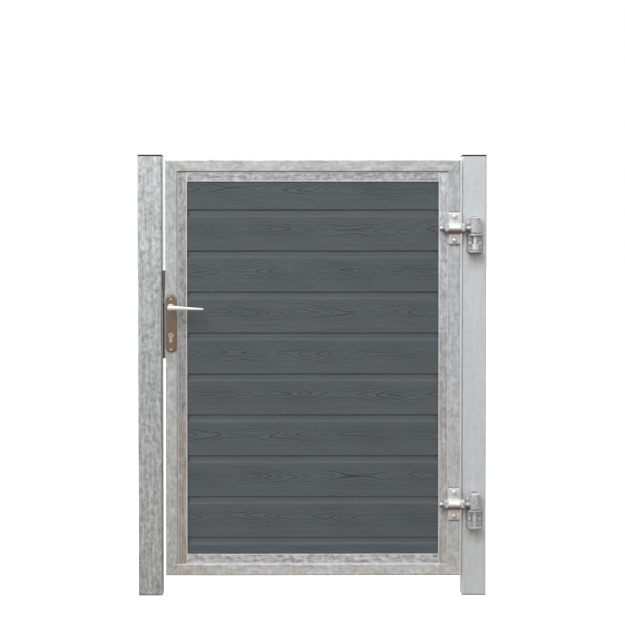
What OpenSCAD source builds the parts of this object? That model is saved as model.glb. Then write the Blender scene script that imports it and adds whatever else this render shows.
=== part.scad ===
// Single garden gate: a galvanised frame with ribbed composite planks, hung between
// two square posts on adjustable hinges, with a lever lock and a keep.
// X runs across the opening, Y points away from the side the gate opens to, Z is up.
// The origin is on the ground line, midway between the posts.

/* [Posts] */
// Clear width between the two posts
opening_w = 1000; // [900:10:1200]
// Height of the post tubes above the ground
post_h = 1465; // [1460:1:1600]
// Side of the square post tube
post_side = 80; // [80:1:90]
// Wall of the post tube
post_wall = 3; // [2:0.5:4]

/* [Leaf frame] */
// Height of the leaf's lower edge above the ground
leaf_bottom = 68; // [40:1:70]
// Height of the welded leaf frame
leaf_h = 1385; // [1385:5:1400]
// Gap between the leaf and the post on the lock side
latch_gap = 12; // [12:0.5:14]
// Gap between the leaf and the post on the hinge side
hinge_gap = 7.5; // [7.5:0.5:12]
// How far the leaf stands in front of the posts
leaf_proud = 8; // [7:0.5:9]
// Side of the square frame tube
tube_side = 40; // [40:1:40]
// Wall of the frame tube
tube_wall = 2.5; // [2:0.5:3]

/* [Planks] */
// Height covered by one plank
plank_pitch = 136.5; // [134:0.5:136.5]
// Thickness of a plank across its faces
plank_t = 24; // [20:1:25]
// Height of the concave cove along a plank's upper edge
cove_h = 21; // [16:1:26]
// Depth of the cove and of the groove line
cove_d = 8; // [5:0.5:8.5]
// Height of the open shadow line between two planks
shadow_gap = 4; // [2:0.5:5]
// Height of the first shadow line above the ground
first_line_z = 196; // [185:0.5:200]

/* [Hinges] */
// Height of the top of the lower hinge bracket
lower_hinge_z = 290; // [250:5:400]
// Height of the top of the upper hinge bracket
upper_hinge_z = 1208; // [1100:2:1220]
// Diameter of the hinge pin
pin_d = 14; // [12:1:16]
// Diameter of the eyebolt's threaded shank
shank_d = 20; // [16:1:20]
// Radial running clearance of the eye on its pin
pin_clear = 0.05; // [0.03:0.01:0.1]

/* [Lock] */
// Height of the lever's spindle
spindle_z = 962; // [950:1:975]
// Distance from the spindle down to the key cylinder
cylinder_drop = 92; // [92:1:92]
// Length of the lever from the spindle to its tip
lever_reach = 111; // [90:1:120]
// Distance the latch bolt stands out of its faceplate
latch_out = 12; // [11:0.5:12]
// Radial running clearance of the turning lock pieces
lock_clear = 0.06; // [0.03:0.01:0.1]

/* [Hidden] */
$fn = 48;

// Posts
half_open = opening_w / 2;
post_front = -post_side / 2;
post_back = post_side / 2;
post_mid_x = half_open + post_side / 2;
cap_rim = 5;

// Leaf
leaf_l = -half_open + latch_gap;
leaf_r = half_open - hinge_gap;
leaf_top = leaf_bottom + leaf_h;
leaf_front = post_front - leaf_proud;
leaf_back = leaf_front + tube_side;
leaf_mid_y = (leaf_front + leaf_back) / 2;
in_l = leaf_l + tube_side;
in_r = leaf_r - tube_side;
in_lo = leaf_bottom + tube_side;
in_hi = leaf_top - tube_side;

// Channels that hold the planks
ch_web = 30;
ch_flange = 32;
ch_t = 2;
screw_d = 4.2;
screw_hole = 4.4;
head_h = 2.4;

// Planks
plank_count = 10;
end_gap = 4;
plank_l = in_l + ch_t + end_gap;
plank_r = in_r - ch_t - end_gap;
tongue_t = plank_t - 2 * cove_d;
tongue_h = 9.5;
groove_h = 11;
groove_t = tongue_t + 0.6;
plank_lo = in_lo + ch_t + 3;
plank_hi = in_hi - ch_t - 5;
chambers = 3;
plank_wall = 4;

// Hinges
pin_x = post_mid_x;
pin_y = post_front - 20;
bracket_w = 46;
bracket_h = 62;
plate_t = 6;
flange_t = 6;
collar_r = 12;
collar_h = 22;
eye_r = 18;
eye_h = 54;
axis_rise = 17;
eye_gap = 0.5;
bracket_bolt_d = 8;
bracket_bolt_x = 16;
saddle_t = 5;
saddle_h = 106;
saddle_bolt_z = 39;
hoop_in = shank_d / 2 + 0.4;
nut_af = 30;
nut_h = 14;
shank_l = in_r - 29;

// Lock
lock_x = leaf_l + 19;
cyl_z = spindle_z - cylinder_drop;
plate_w = 36;
plate_h = 187;
backplate_t = 6;
plate_lo = spindle_z - 146;
plate_screw_lo = plate_lo + 7.5;
plate_screw_hi = plate_lo + plate_h - 12;
neck_d = 22;
face_t = 3;
face_w = 22;
face_lo = spindle_z - 169;
face_h = 225;
face_x = leaf_l - face_t;
case_t = 16;
case_lo = face_lo + 10;
case_h = 205;
case_wall = 1.2;
case_r = in_l - tube_wall - 0.3;
hub_r = 9;
square_bar = 8;
bolt_t = 12;
latch_z = spindle_z + 23;
latch_h = 18;
latch_tip = face_x - latch_out;
latch_back = lock_x - 11;
arm_reach = 18;
arm_r = 2;
dead_z = cyl_z + 35;
dead_h = 24;
dead_rear = lock_x + 13;
cyl_r = 8.5;
cyl_stem = 24.5;
plug_r = 6.4;
cam_w = 10;
cam_reach = 13.5;

// Keep on the latch post
keep_t = 3;
keep_front = -38;
lip_front = leaf_back + 0.5;
lip_back = lip_front + keep_t;
lip_ear = leaf_l + 14;
lip_notch = leaf_l + 0.5;
keep_lo = face_lo - 2;
keep_hi = face_lo + face_h;
lip_hi = keep_hi + 68;

galvanised = "silver";
dull_zinc = "darkgray";
stainless = "rosybrown";
anthracite = "darkslategray";
black = [0.1, 0.1, 0.1];
satin = "whitesmoke";

// ---- Shapes that repeat ----

// A rectangle with round corners, centred on the origin
module round_rect(w, h, r) {
    square([w - 2 * r, h], center = true);
    square([w, h - 2 * r], center = true);
    for (sx = [-1, 1], sy = [-1, 1])
        translate([sx * (w / 2 - r), sy * (h / 2 - r)])
            circle(r);
}

// The section of a square tube with round corners
module tube_section(side, wall, r) {
    difference() {
        round_rect(side, side, r);
        round_rect(side - 2 * wall, side - 2 * wall, r - wall / 2);
    }
}

// A cylinder along Y from y0 to y1
module bar_y(x, z, y0, y1, d) {
    translate([x, y0, z])
        rotate([-90, 0, 0])
            cylinder(h = y1 - y0, d = d);
}

// A cylinder along X from x0 to x1
module bar_x(x0, x1, y, z, d) {
    translate([x0, y, z])
        rotate([0, 90, 0])
            cylinder(h = x1 - x0, d = d);
}

// A hexagon of width af across its flats, standing along Z
module hexagon(af, h) {
    cylinder(h = h, d = af / cos(30), $fn = 6);
}

// A self-tapping screw along -Z from its seat at the origin, with a low head above
module pan_screw(length) {
    translate([0, 0, -length + 3])
        cylinder(h = length - 3, d = screw_d);
    translate([0, 0, -length])
        cylinder(h = 3, d1 = 1, d2 = screw_d);
    cylinder(h = head_h, d1 = 8, d2 = 5.4);
}

// A countersunk screw along -Z, its head flush with the origin
module flush_screw(length, d = screw_d, head = 8) {
    translate([0, 0, -length])
        cylinder(h = length - 1, d = d);
    difference() {
        translate([0, 0, -2])
            cylinder(h = 2, d1 = d, d2 = head);
        translate([0, 0, -1])
            cylinder(h = 2, d = 2.5, $fn = 6);
    }
}

// The hole that a flush screw sits in, opening at the origin
module flush_hole(length, d = screw_hole, head = 8.2) {
    translate([0, 0, -length])
        cylinder(h = length + 1, d = d);
    translate([0, 0, -2])
        cylinder(h = 2.001, d1 = d, d2 = head);
}

// The outline of a profile cylinder: a round body with a narrow stem below it
module profile_outline(grow = 0) {
    circle(r = cyl_r + grow);
    translate([-5 - grow, -cyl_stem + 5])
        square([10 + 2 * grow, cyl_stem - 5]);
    translate([0, -cyl_stem + 5])
        circle(r = 5 + grow);
}

// The profile cylinder's outline carried along Y from y0 to y1
module profile_bar(y0, y1, grow = 0) {
    translate([lock_x, y1, cyl_z])
        rotate([90, 0, 0])
            linear_extrude(y1 - y0)
                profile_outline(grow);
}

// Puts its children on the back of the leaf, mirrored about the leaf's middle plane
module on_rear() {
    translate([0, 2 * leaf_mid_y, 0])
        mirror([0, 1, 0])
            children();
}

// ---- Posts ----

module post_tube(side) {
    translate([side * post_mid_x, 0, 0])
        linear_extrude(post_h)
            tube_section(post_side, post_wall, 5);
}

module post_cap(side) {
    skirt = post_side - 2 * post_wall - 0.4;
    color(black)
        translate([side * post_mid_x, 0, post_h]) {
            linear_extrude(cap_rim)
                round_rect(post_side, post_side, 5);
            translate([0, 0, -22])
                linear_extrude(22)
                    difference() {
                        round_rect(skirt, skirt, 3);
                        square(skirt - 5, center = true);
                    }
        }
}

// The windows that the two bolts enter, cut from x0 to x1
module bolt_windows(x0, x1, grow) {
    translate([x0, leaf_mid_y - bolt_t / 2 - grow, latch_z - latch_h / 2 - grow])
        cube([x1 - x0, bolt_t + 2 * grow, latch_h + 2 * grow]);
    translate([x0, leaf_mid_y - bolt_t / 2 - grow, dead_z - dead_h / 2 - grow])
        cube([x1 - x0, bolt_t + 2 * grow, dead_h + 2 * grow]);
}

// Puts its children at each keep screw, looking out of the post's inner face
module at_keep_screws() {
    for (z = [keep_lo + 12, cyl_z + 72, keep_hi - 12])
        translate([-half_open + keep_t, leaf_mid_y, z])
            rotate([0, 90, 0])
                children();
}

module latch_post() {
    color(galvanised)
        difference() {
            post_tube(-1);
            bolt_windows(-half_open - post_wall - 1, -half_open + 1, 1);
            at_keep_screws()
                translate([0, 0, -keep_t - post_wall - 1])
                    cylinder(h = post_wall + 2, d = screw_hole);
        }
}

// Puts its children at both bolts of a hinge bracket, pointing along +Y
module at_bracket_bolts(top_z) {
    for (s = [-1, 1])
        translate([pin_x + s * bracket_bolt_x, 0, top_z - bracket_h / 2])
            rotate([-90, 0, 0])
                children();
}

module hinge_post() {
    color(galvanised)
        difference() {
            post_tube(1);
            for (top_z = [lower_hinge_z, upper_hinge_z])
                at_bracket_bolts(top_z)
                    translate([0, 0, -post_side])
                        cylinder(h = 2 * post_side, d = bracket_bolt_d + 0.4);
        }
}

// ---- Keep ----

module keep_plate() {
    color(dull_zinc)
        difference() {
            union() {
                translate([-half_open, keep_front, keep_lo])
                    cube([keep_t, lip_back - keep_front, keep_hi - keep_lo]);
                translate([-half_open, lip_front, keep_lo])
                    cube([lip_notch + half_open, keep_t, lip_hi - keep_lo]);
                for (span = [[keep_lo, plate_lo - 10], [plate_lo + plate_h + 8, lip_hi]])
                    translate([-half_open, lip_front, span[0]])
                        cube([lip_ear + half_open, keep_t, span[1] - span[0]]);
            }
            bolt_windows(-half_open - 1, -half_open + keep_t + 1, 0.8);
            at_keep_screws()
                flush_hole(keep_t + 1);
        }
}

module keep_screws() {
    color(dull_zinc)
        at_keep_screws()
            flush_screw(16);
}

// ---- Hinges ----

module hinge_bracket(top_z) {
    color(galvanised)
        difference() {
            union() {
                translate([pin_x - bracket_w / 2, post_front - plate_t, top_z - bracket_h])
                    cube([bracket_w, plate_t, bracket_h]);
                for (z = [top_z - bracket_h, top_z - flange_t]) {
                    translate([pin_x, pin_y, z])
                        cylinder(h = flange_t, r = bracket_w / 2);
                    translate([pin_x - bracket_w / 2, pin_y, z])
                        cube([bracket_w, post_front - pin_y, flange_t]);
                }
            }
            translate([pin_x - bracket_w, post_front, top_z - bracket_h - 1])
                cube([2 * bracket_w, bracket_w, bracket_h + 2]);
            translate([pin_x, pin_y, top_z - bracket_h - 1])
                cylinder(h = bracket_h + 2, d = pin_d + 0.05);
            at_bracket_bolts(top_z)
                translate([0, 0, -post_side])
                    cylinder(h = post_side, d = bracket_bolt_d + 0.4);
        }
}

// The pin; the upper one has a collar that stands on the bracket's lower flange
module hinge_pin(top_z, collar = false) {
    pin_top = top_z + eye_gap + eye_h - 4;
    color(dull_zinc)
        translate([pin_x, pin_y, top_z - bracket_h - 3]) {
            cylinder(h = pin_top - 2 - top_z + bracket_h + 3, d = pin_d);
            translate([0, 0, pin_top - 2 - top_z + bracket_h + 3])
                cylinder(h = 2, d1 = pin_d, d2 = pin_d - 4);
            if (collar)
                translate([0, 0, 3 + flange_t])
                    cylinder(h = collar_h, r = collar_r);
        }
}

// Hexagon bolts through the post, each with a nut at the back
module bracket_bolts(top_z) {
    seat = post_front - plate_t;
    color(dull_zinc)
        at_bracket_bolts(top_z) {
            translate([0, 0, seat - 5.3])
                hexagon(13, 5.3);
            translate([0, 0, seat])
                cylinder(h = post_back + 9 - seat, d = bracket_bolt_d);
            translate([0, 0, post_back])
                difference() {
                    hexagon(13, 6.5);
                    translate([0, 0, -1])
                        cylinder(h = 9, d = bracket_bolt_d + 0.1);
                }
        }
}

// The omega strap's section: two feet and a hoop over the shank, drawn in Y and Z
module saddle_outline() {
    hoop_out = hoop_in + saddle_t;
    foot = leaf_front - saddle_t - pin_y;
    fillet = 3;
    difference() {
        union() {
            circle(r = hoop_out);
            translate([0, -hoop_out])
                square([foot + saddle_t, 2 * hoop_out]);
            translate([foot, -saddle_h / 2])
                square([saddle_t, saddle_h]);
            translate([foot - fillet, -hoop_out - fillet])
                square([fillet + 1, 2 * (hoop_out + fillet)]);
        }
        circle(r = hoop_in);
        translate([0, -hoop_in])
            square([foot + saddle_t + 1, 2 * hoop_in]);
        translate([foot + saddle_t, -saddle_h])
            square([2 * hoop_out, 2 * saddle_h]);
        for (s = [-1, 1])
            translate([foot - fillet, s * (hoop_out + fillet)])
                circle(r = fillet);
    }
}

module saddle(top_z) {
    axis_z = top_z + axis_rise;
    color(galvanised)
        difference() {
            translate([in_r, pin_y, axis_z])
                rotate([90, 0, 90])
                    linear_extrude(tube_side)
                        saddle_outline();
            for (s = [-1, 1])
                bar_y(in_r + tube_side / 2, axis_z + s * saddle_bolt_z,
                      leaf_front - 10, leaf_front + 5, 8.4);
        }
}

// Dome-headed bolts through saddle and stile, each with a nut at the back
module saddle_bolts(top_z) {
    seat = leaf_front - saddle_t;
    dome_r = 10.6;
    color(dull_zinc)
        for (s = [-1, 1])
            translate([in_r + tube_side / 2, 0, top_z + axis_rise + s * saddle_bolt_z])
                rotate([-90, 0, 0]) {
                    intersection() {
                        translate([0, 0, seat - 5 + dome_r])
                            sphere(r = dome_r);
                        translate([0, 0, seat - 5])
                            cylinder(h = 5, r = 9);
                    }
                    translate([0, 0, seat])
                        cylinder(h = leaf_back + 9 - seat, d = 8);
                    translate([0, 0, leaf_back])
                        difference() {
                            hexagon(13, 6.5);
                            translate([0, 0, -1])
                                cylinder(h = 9, d = 8.1);
                        }
                }
}

// A barrel on the pin with a threaded shank welded to it and a gusset above the shank
module eyebolt(top_z) {
    axis_z = top_z + axis_rise;
    eye_lo = top_z + eye_gap;
    color(galvanised)
        difference() {
            union() {
                translate([pin_x, pin_y, eye_lo])
                    cylinder(h = eye_h, r = eye_r);
                bar_x(shank_l, pin_x, pin_y, axis_z, shank_d);
                translate([leaf_r + nut_h + 4, pin_y - 3, axis_z])
                    cube([pin_x - leaf_r - nut_h - 4, 6, eye_lo + eye_h - 4 - axis_z]);
            }
            translate([pin_x, pin_y, eye_lo - 1])
                cylinder(h = eye_h + 2, r = pin_d / 2 + pin_clear);
        }
}

module eyebolt_nuts(top_z) {
    color(galvanised)
        for (x = [in_r - nut_h, leaf_r])
            translate([x, pin_y, top_z + axis_rise])
                rotate([0, 90, 0])
                    difference() {
                        hexagon(nut_af, nut_h);
                        translate([0, 0, -1])
                            cylinder(h = nut_h + 2, d = shank_d + 0.1);
                    }
}

// ---- Leaf frame ----

// A tube of the given length along Z with both ends mitred, its outer side at x = 0
module mitred_tube(length) {
    difference() {
        translate([tube_side / 2, 0, 0])
            linear_extrude(length)
                tube_section(tube_side, tube_wall, 4);
        translate([0, tube_side, 0])
            rotate([90, 0, 0])
                linear_extrude(2 * tube_side) {
                    polygon([[0, 0], [tube_side + 1, tube_side + 1], [tube_side + 1, -1], [-1, -1]]);
                    polygon([[0, length], [tube_side + 1, length - tube_side - 1],
                             [tube_side + 1, length + 1], [-1, length + 1]]);
                }
    }
}

// Heights of the screws that hold an upright channel, and positions along a level one
upright_screws = [for (f = [0, 0.4, 0.8, 1]) in_lo + 90 + f * (in_hi - in_lo - 180)];
level_screws = [for (i = [-1:1]) (in_l + in_r) / 2 + i * (in_r - in_l) * 0.38];

// Puts its children at each channel screw, looking into the leaf's opening
module at_channel_screws() {
    for (z = upright_screws) {
        translate([in_l + ch_t, leaf_mid_y, z])
            rotate([0, 90, 0])
                children();
        translate([in_r - ch_t, leaf_mid_y, z])
            rotate([0, -90, 0])
                children();
    }
    for (x = level_screws) {
        translate([x, leaf_mid_y, in_lo + ch_t])
            children();
        translate([x, leaf_mid_y, in_hi - ch_t])
            rotate([180, 0, 0])
                children();
    }
}

module channel_screw_holes() {
    at_channel_screws()
        translate([0, 0, -ch_t - tube_wall - 1])
            cylinder(h = ch_t + tube_wall + 2, d = screw_hole);
}

module latch_stile() {
    color(galvanised)
        difference() {
            translate([leaf_l, leaf_mid_y, leaf_bottom])
                mitred_tube(leaf_h);
            channel_screw_holes();
            translate([leaf_l - 1, leaf_mid_y - case_t / 2 - 0.2, case_lo - 0.2])
                cube([tube_wall + 2, case_t + 0.4, case_h + 0.4]);
            bar_y(lock_x, spindle_z, leaf_front - 1, leaf_back + 1, neck_d + 1);
            profile_bar(leaf_front - 1, leaf_back + 1, 0.8);
            for (z = [plate_screw_lo, plate_screw_hi])
                bar_y(lock_x, z, leaf_front - 1, leaf_back + 1, screw_hole);
            at_faceplate_screws()
                translate([0, 0, -face_t - tube_wall - 1])
                    cylinder(h = tube_wall + 2, d = screw_hole);
        }
}

module hinge_stile() {
    color(galvanised)
        difference() {
            translate([leaf_r, leaf_mid_y, leaf_bottom])
                mirror([1, 0, 0])
                    mitred_tube(leaf_h);
            channel_screw_holes();
            for (top_z = [lower_hinge_z, upper_hinge_z], s = [-1, 1])
                bar_y(in_r + tube_side / 2, top_z + axis_rise + s * saddle_bolt_z,
                      leaf_front - 1, leaf_back + 1, 8.4);
        }
}

module top_rail() {
    color(galvanised)
        difference() {
            translate([leaf_l, leaf_mid_y, leaf_top])
                rotate([0, 90, 0])
                    mitred_tube(leaf_r - leaf_l);
            channel_screw_holes();
        }
}

module bottom_rail() {
    color(galvanised)
        difference() {
            translate([leaf_r, leaf_mid_y, leaf_bottom])
                rotate([0, -90, 0])
                    mitred_tube(leaf_r - leaf_l);
            channel_screw_holes();
        }
}

// A channel along Z, its web's back at x = 0 and its flanges pointing to +X
module channel(length) {
    linear_extrude(length)
        difference() {
            translate([0, -ch_web / 2])
                square([ch_flange, ch_web]);
            translate([ch_t, -ch_web / 2 + ch_t])
                square([ch_flange, ch_web - 2 * ch_t]);
        }
}

module upright_channel(x, turn) {
    color(dull_zinc)
        difference() {
            translate([x, leaf_mid_y, in_lo])
                rotate([0, 0, turn])
                    channel(in_hi - in_lo);
            channel_screw_holes();
        }
}

module level_channel(z, turn) {
    length = in_r - in_l - 2 * ch_flange;
    color(dull_zinc)
        difference() {
            translate([(in_l + in_r) / 2, leaf_mid_y, z])
                rotate([0, turn, 0])
                    translate([0, 0, -length / 2])
                        channel(length);
            channel_screw_holes();
        }
}

module left_channel() { upright_channel(in_l, 0); }
module right_channel() { upright_channel(in_r, 180); }
module top_channel() { level_channel(in_hi, 90); }
module bottom_channel() { level_channel(in_lo, -90); }

module channel_screws() {
    color(dull_zinc)
        at_channel_screws()
            pan_screw(12);
}

// ---- Planks ----

// One side of the cove: a curve from the face up to the tongue, leaving the face at a
// slope of 40 degrees and ending upright
function cove(side, flat_h) = [
    for (i = [0:10])
        let (
            t = i / 10,
            b = 2 * t * (1 - t),
            c = t * t
        )
        [side * (plank_t / 2 - (b * 0.85 + c) * cove_d), flat_h + (b * 0.27 + c) * cove_h]
];

function reversed(points) = [for (i = [len(points) - 1:-1:0]) points[i]];

// A plank's section in Y and Z: grooved below, coved and tongued above
module plank_outline() {
    flat_h = plank_pitch - shadow_gap - cove_h;
    edge = 0.8;
    room = flat_h - groove_h - 2 * plank_wall;
    chamber_h = (room - (chambers - 1) * plank_wall) / chambers;
    difference() {
        polygon(concat(
            [[groove_t / 2, 0], [plank_t / 2 - edge, 0], [plank_t / 2, edge]],
            cove(1, flat_h),
            [[tongue_t / 2, plank_pitch + tongue_h], [-tongue_t / 2, plank_pitch + tongue_h]],
            reversed(cove(-1, flat_h)),
            [[-plank_t / 2, edge], [-plank_t / 2 + edge, 0], [-groove_t / 2, 0],
             [-groove_t / 2, groove_h], [groove_t / 2, groove_h]]
        ));
        for (i = [0:chambers - 1])
            translate([-plank_t / 2 + plank_wall,
                       groove_h + plank_wall + i * (chamber_h + plank_wall)])
                square([plank_t - 2 * plank_wall, chamber_h]);
    }
}

// Plank number i, counted from the bottom, cut to fit between the level channels
module plank(i) {
    z = first_line_z + (i - 2) * plank_pitch;
    color(anthracite)
        translate([plank_l, leaf_mid_y, 0])
            rotate([90, 0, 90])
                linear_extrude(plank_r - plank_l)
                    intersection() {
                        translate([0, z])
                            plank_outline();
                        translate([-plank_t, plank_lo])
                            square([2 * plank_t, plank_hi - plank_lo]);
                    }
}

// ---- Lock ----

module at_faceplate_screws() {
    for (z = [face_lo + 5, face_lo + face_h - 5])
        translate([face_x, leaf_mid_y, z])
            rotate([0, -90, 0])
                children();
}

module lock_case() {
    color(dull_zinc)
        difference() {
            translate([leaf_l, leaf_mid_y - case_t / 2, case_lo])
                cube([case_r - leaf_l, case_t, case_h]);
            translate([leaf_l - 1, leaf_mid_y - case_t / 2 + case_wall, case_lo + case_wall])
                cube([case_r - leaf_l + 1 - case_wall, case_t - 2 * case_wall, case_h - 2 * case_wall]);
            bar_y(lock_x, spindle_z, leaf_front, leaf_back, 2 * (hub_r + lock_clear));
            profile_bar(leaf_front, leaf_back, 0.2);
        }
}

module lock_faceplate() {
    color(stainless)
        difference() {
            translate([face_x, leaf_mid_y, face_lo + face_h / 2])
                rotate([90, 0, 90])
                    linear_extrude(face_t)
                        round_rect(face_w, face_h, 4);
            bolt_windows(face_x - 1, leaf_l + 1, 0.2);
            at_faceplate_screws()
                flush_hole(face_t + 1);
            translate([face_x, leaf_mid_y, cyl_z - 19.2])
                rotate([0, -90, 0])
                    flush_hole(face_t + 1, 5.2, 9.2);
        }
}

module faceplate_screws() {
    color(stainless)
        at_faceplate_screws()
            flush_screw(14);
}

// A long plate with round ends and a bevelled rim, carrying the lever and the cylinder
module backplate() {
    rim = 1.5;
    seat = backplate_t - rim;
    inner = plate_w - 2 * rim;
    color(stainless)
        difference() {
            translate([lock_x, leaf_front, 0])
                rotate([90, 0, 0]) {
                    for (z = [plate_lo + plate_w / 2, plate_lo + plate_h - plate_w / 2])
                        translate([0, z, 0]) {
                            cylinder(h = seat, d = plate_w);
                            translate([0, 0, seat])
                                cylinder(h = rim, d1 = plate_w, d2 = inner);
                        }
                    translate([0, plate_lo + plate_h - plate_w / 2, 0])
                        rotate([90, 0, 0])
                            linear_extrude(plate_h - plate_w)
                                polygon([
                                    [-plate_w / 2, 0], [plate_w / 2, 0],
                                    [plate_w / 2, seat], [inner / 2, backplate_t],
                                    [-inner / 2, backplate_t], [-plate_w / 2, seat]
                                ]);
                }
            bar_y(lock_x, spindle_z, leaf_front - 10, leaf_front + 1, neck_d + 2 * lock_clear);
            profile_bar(leaf_front - 10, leaf_front + 1, 0.2);
            for (z = [plate_screw_lo, plate_screw_hi])
                translate([lock_x, leaf_front - backplate_t, z])
                    rotate([90, 0, 0])
                        flush_hole(backplate_t + 1);
        }
}

module front_backplate() { backplate(); }
module rear_backplate() { on_rear() backplate(); }

module front_plate_screws() {
    for (z = [plate_screw_lo, plate_screw_hi])
        translate([lock_x, leaf_front - backplate_t, z])
            rotate([90, 0, 0])
                flush_screw(17);
}

module backplate_screws() {
    color(stainless) {
        front_plate_screws();
        on_rear() front_plate_screws();
    }
}

// The cylinder's body, bored for its plugs and slotted across its middle for the cam
module profile_cylinder() {
    y0 = leaf_front - backplate_t - 3;
    y1 = leaf_back + backplate_t + 3;
    color("goldenrod")
        difference() {
            profile_bar(y0, y1);
            bar_y(lock_x, cyl_z, y0 - 1, y1 + 1, 2 * (plug_r + lock_clear));
            translate([lock_x - 10, leaf_mid_y - cam_w / 2, cyl_z - cam_reach - 0.5])
                cube([20, cam_w, 2 * cam_reach]);
            bar_x(lock_x - 10, lock_x + 10, leaf_mid_y, cyl_z - 19.2, 5.1);
        }
}

module cylinder_screw() {
    color(stainless)
        translate([face_x, leaf_mid_y, cyl_z - 19.2])
            rotate([0, -90, 0])
                flush_screw(lock_x + 8 - face_x, 5, 9);
}

// Wire rings around the follower's hub, with a leg on the case's floor
module lever_spring() {
    wire = 1.4;
    ring_r = hub_r + 1.3;
    y0 = leaf_mid_y - case_t / 2 + case_wall + wire / 2 + 0.2;
    color(dull_zinc)
        translate([lock_x, y0, spindle_z])
            rotate([-90, 0, 0]) {
                for (i = [0, 1])
                    translate([0, 0, i * (wire - 0.1)])
                        rotate_extrude()
                            translate([ring_r, 0])
                                circle(d = wire);
                translate([ring_r, 0, 0])
                    rotate([-90, 0, 0])
                        cylinder(h = 18, d = wire);
            }
}

// A lever handle: a round neck out of the plate and a tapering arm that drops a little
module lever() {
    neck_out = leaf_front - backplate_t - 38;
    drop = 4;
    steps = 5;
    crown = 3;
    crown_r = (neck_d * neck_d / 4 + crown * crown) / (2 * crown);
    color(satin)
        difference() {
            union() {
                bar_y(lock_x, spindle_z, neck_out, leaf_front - 1.5, neck_d);
                intersection() {
                    translate([lock_x, neck_out - crown + crown_r, spindle_z])
                        sphere(r = crown_r);
                    bar_y(lock_x, spindle_z, neck_out - crown - 1, neck_out, neck_d);
                }
                for (i = [0:steps - 1])
                    hull() {
                        lever_slice(i / steps, neck_out + 6, drop);
                        lever_slice((i + 1) / steps, neck_out + 6, drop);
                    }
            }
            translate([lock_x - square_bar / 2 - 0.05, neck_out + 12, spindle_z - square_bar / 2 - 0.05])
                cube([square_bar + 0.1, 60, square_bar + 0.1]);
        }
}

// A thin round-edged slice of the lever's arm, at fraction f of its reach
module lever_slice(f, y, drop) {
    tall = 15 - 8 * f;
    deep = 12 - 4 * f;
    translate([lock_x + f * (lever_reach - 1), y, spindle_z - drop * f])
        rotate([0, 90, 0])
            scale([tall / 10, deep / 10, 1])
                cylinder(h = 1, d = 10, $fn = 32);
}

module front_lever() { lever(); }
module rear_lever() { on_rear() lever(); }

module spindle() {
    reach = tube_side / 2 + backplate_t + 22;
    color(dull_zinc)
        translate([lock_x - square_bar / 2, leaf_mid_y - reach, spindle_z - square_bar / 2])
            cube([square_bar, 2 * reach, square_bar]);
}

// The hub on the spindle, with the finger that draws the latch back
module follower() {
    bar = square_bar + 0.1;
    color(dull_zinc)
        difference() {
            union() {
                bar_y(lock_x, spindle_z, leaf_mid_y - case_t / 2, leaf_mid_y + case_t / 2, 2 * hub_r);
                translate([lock_x - arm_r, leaf_mid_y - 2, spindle_z])
                    cube([2 * arm_r, 4, arm_reach]);
                bar_y(lock_x, spindle_z + arm_reach, leaf_mid_y - 2, leaf_mid_y + 2, 2 * arm_r);
            }
            translate([lock_x - bar / 2, leaf_mid_y - case_t, spindle_z - bar / 2])
                cube([bar, 2 * case_t, bar]);
        }
}

// The sprung bolt, bevelled on its rear side, with a tail hooked behind the finger
module latch_bolt() {
    y0 = leaf_mid_y - bolt_t / 2;
    lug_l = lock_x + arm_r + 0.6;
    lug_t = 2.4;
    bar_lo = spindle_z + arm_reach + arm_r + 2;
    color(satin) {
        translate([0, 0, latch_z - latch_h / 2])
            linear_extrude(latch_h)
                polygon([
                    [latch_tip, y0], [latch_back, y0], [latch_back, y0 + bolt_t],
                    [face_x - 1, y0 + bolt_t], [latch_tip, y0 + 3]
                ]);
        translate([latch_back - 1, leaf_mid_y - 2, bar_lo])
            cube([lug_l + lug_t - latch_back + 1, 4, 6]);
        translate([lug_l, leaf_mid_y - 2, spindle_z + hub_r + 2])
            cube([lug_t, 4, bar_lo + 6 - spindle_z - hub_r - 2]);
    }
}

module deadbolt() {
    nose = 1;
    y0 = leaf_mid_y - bolt_t / 2;
    x0 = face_x + 0.5;
    color(satin)
        translate([0, 0, dead_z - dead_h / 2])
            linear_extrude(dead_h)
                polygon([
                    [x0, y0 + nose], [x0 + nose, y0], [dead_rear, y0],
                    [dead_rear, y0 + bolt_t], [x0 + nose, y0 + bolt_t], [x0, y0 + bolt_t - nose]
                ]);
}

// A plug from its face at y0 to y1, with a slot for the key in its outer face
module plug(y0, y1, slot_y) {
    color("gold")
        difference() {
            bar_y(lock_x, cyl_z, y0, y1, 2 * plug_r);
            translate([lock_x - 1.1, slot_y, cyl_z - 4.5])
                cube([2.2, 12, 8.5]);
        }
}

module front_plug() {
    face_y = leaf_front - backplate_t - 3.5;
    plug(face_y, leaf_mid_y - cam_w / 2, face_y - 1);
}

module rear_plug() {
    face_y = leaf_back + backplate_t + 3.5;
    plug(leaf_mid_y + cam_w / 2, face_y, face_y - 11);
}

module lock_cam() {
    color(dull_zinc) {
        bar_y(lock_x, cyl_z, leaf_mid_y - cam_w / 2 + 0.2, leaf_mid_y + cam_w / 2 - 0.2, 2 * cyl_r);
        translate([lock_x - 3, leaf_mid_y - cam_w / 2 + 0.2, cyl_z - cam_reach + 0.5])
            cube([6, cam_w - 0.4, cam_reach]);
    }
}

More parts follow.
